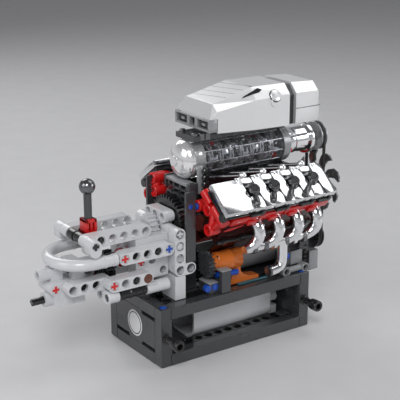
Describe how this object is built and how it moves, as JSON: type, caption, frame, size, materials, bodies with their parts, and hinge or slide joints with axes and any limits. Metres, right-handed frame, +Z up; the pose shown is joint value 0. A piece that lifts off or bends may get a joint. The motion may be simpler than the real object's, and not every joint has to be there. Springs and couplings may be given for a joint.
{
  "type": "supercharged v8 engine and gearbox display model",
  "caption": "Building-brick display model of a supercharged V8 engine with chromed covers, front fan, belt drive, gearbox and shift lever on an open rectangular base.",
  "frame": {"origin": "centre of the base's rectangular footprint, on its underside", "axes": "+X along the crankshaft towards the fan, +Z up, -Y towards the show side"},
  "size_m": [0.2288, 0.108, 0.1692],
  "materials": {
    "base_grey": "moulded dark grey plastic, satin",
    "black_plastic": "moulded black plastic",
    "light_grey": "moulded light grey plastic, glossy",
    "red_plastic": "moulded red plastic, glossy",
    "blue_plastic": "moulded blue plastic, glossy",
    "chromed_plastic": "vacuum-plated plastic, mirror bright",
    "gold_plastic": "moulded dark gold plastic",
    "smoked_clear": "smoked transparent plastic",
    "clear_case": "dark transparent plastic",
    "clear_orange": "transparent orange plastic",
    "rubber_belt": "black rubber band",
    "lever_grey": "dark grey plastic and a burnished ball",
    "fan_black": "moulded black plastic"
  },
  "bodies": {
    "frame": {"bank_frames_red": "red_plastic", "base_beams": "black_plastic", "base_side_frames": "base_grey", "black_axles": "black_plastic", "blower_case": "clear_case", "blower_dome": "chromed_plastic", "blower_saddle": "black_plastic", "blower_snout": "chromed_plastic", "blue_pins": "blue_plastic", "cover_trays": "black_plastic", "crankcase_sides": "smoked_clear", "cylinder_blocks": "smoked_clear", "deck_brackets": "base_grey", "deck_plate": "base_grey", "drive_belt": "rubber_belt", "drum_trough": "light_grey", "end_panels": "base_grey", "exhaust_headers": "chromed_plastic", "floor_plate": "base_grey", "front_frame": "base_grey", "gearbox_beams": "light_grey", "gearbox_connectors": "light_grey", "gearbox_cross_blocks": "light_grey", "gearbox_l_beams": "light_grey", "gearbox_pedestals": "black_plastic", "gearbox_pins": "red_plastic", "gearbox_tail": "light_grey", "gearbox_u_tube": "light_grey", "gearbox_walls": "light_grey", "intake_manifold": "black_plastic", "pull_pins": "black_plastic", "rear_bulkhead": "base_grey", "roller": "light_grey", "scoop_core": "black_plastic", "scoop_hood": "chromed_plastic", "scoop_nose": "chromed_plastic", "scoop_plate": "chromed_plastic", "scoop_tail": "chromed_plastic", "spark_plugs": "chromed_plastic", "starter_motor": "clear_orange", "sump_cover": "smoked_clear", "valley_links": "chromed_plastic", "valve_covers": "chromed_plastic"},
    "crank": {"crankshaft": "black_plastic", "crank_wheels": "black_plastic"},
    "input_train": {"flywheel_gear": "black_plastic", "input_shaft": "black_plastic"},
    "lay_train": {"lay_shaft": "black_plastic"},
    "output_train": {"output_shaft": "black_plastic"},
    "starter_train": {"starter_pinion": "black_plastic"},
    "blower_train": {"blower_rotor": "chromed_plastic"},
    "fan_train": {"fan": "fan_black"},
    "piston_no": {"pistons_near_outer": "gold_plastic"},
    "piston_ni": {"pistons_near_inner": "gold_plastic"},
    "piston_fo": {"pistons_far_outer": "gold_plastic"},
    "piston_fi": {"pistons_far_inner": "gold_plastic"},
    "gear_lever": {"lever_block": "red_plastic", "shift_lever": "lever_grey"},
    "fork": {"shift_fork": "light_grey"},
    "selector": {"selector_ring": "red_plastic"}
  },
  "joints": [
    {"name": "crank_spin", "type": "hinge", "parent": "frame", "child": "crank", "pos_m": [0, 0, 0.052], "axis": [1, 0, 0], "continuous": true},
    {"name": "input_spin", "type": "hinge", "parent": "frame", "child": "input_train", "pos_m": [-0.04, 0, 0.084], "axis": [1, 0, 0], "continuous": true},
    {"name": "lay_spin", "type": "hinge", "parent": "frame", "child": "lay_train", "pos_m": [-0.064, 0, 0.068], "axis": [1, 0, 0], "continuous": true},
    {"name": "output_spin", "type": "hinge", "parent": "frame", "child": "output_train", "pos_m": [-0.088, 0, 0.052], "axis": [1, 0, 0], "continuous": true},
    {"name": "starter_spin", "type": "hinge", "parent": "frame", "child": "starter_train", "pos_m": [-0.0168, -0.0192, 0.0576], "axis": [1, 0, 0], "continuous": true},
    {"name": "blower_spin", "type": "hinge", "parent": "frame", "child": "blower_train", "pos_m": [0.024, 0, 0.1248], "axis": [1, 0, 0], "continuous": true},
    {"name": "fan_spin", "type": "hinge", "parent": "frame", "child": "fan_train", "pos_m": [0.088, 0, 0.092], "axis": [1, 0, 0], "continuous": true},
    {"name": "piston_no_slide", "type": "slide", "parent": "frame", "child": "piston_no", "axis": [0, -0.6, 0.8], "range_m": [-0.0072, 0.0008]},
    {"name": "piston_ni_slide", "type": "slide", "parent": "frame", "child": "piston_ni", "axis": [0, -0.6, 0.8], "range_m": [-0.0008, 0.0072]},
    {"name": "piston_fo_slide", "type": "slide", "parent": "frame", "child": "piston_fo", "axis": [0, 0.6, 0.8], "range_m": [-0.0072, 0.0008]},
    {"name": "piston_fi_slide", "type": "slide", "parent": "frame", "child": "piston_fi", "axis": [0, 0.6, 0.8], "range_m": [-0.0008, 0.0072]},
    {"name": "lever_tilt", "type": "hinge", "parent": "frame", "child": "gear_lever", "pos_m": [-0.092, 0, 0.088], "axis": [0, 1, 0], "range_deg": [-15, 15]},
    {"name": "fork_slide", "type": "slide", "parent": "frame", "child": "fork", "axis": [1, 0, 0], "range_m": [-0.0024, 0.0024]},
    {"name": "selector_slide", "type": "slide", "parent": "lay_train", "child": "selector", "axis": [1, 0, 0], "range_m": [-0.0024, 0.0024]}
  ],
  "couplings": [
    {"joint": "input_spin", "follows": "crank_spin", "ratio": -0.77778},
    {"joint": "lay_spin", "follows": "crank_spin", "ratio": 0.77778},
    {"joint": "output_spin", "follows": "crank_spin", "ratio": -0.46667},
    {"joint": "starter_spin", "follows": "crank_spin", "ratio": -1.5},
    {"joint": "blower_spin", "follows": "crank_spin", "ratio": 1},
    {"joint": "fan_spin", "follows": "crank_spin", "ratio": 1},
    {"joint": "piston_ni_slide", "follows": "piston_no_slide", "ratio": -1},
    {"joint": "piston_fi_slide", "follows": "piston_fo_slide", "ratio": -1},
    {"joint": "fork_slide", "follows": "lever_tilt", "m_per_rad": -0.0088},
    {"joint": "selector_slide", "follows": "lever_tilt", "m_per_rad": -0.0088}
  ]
}
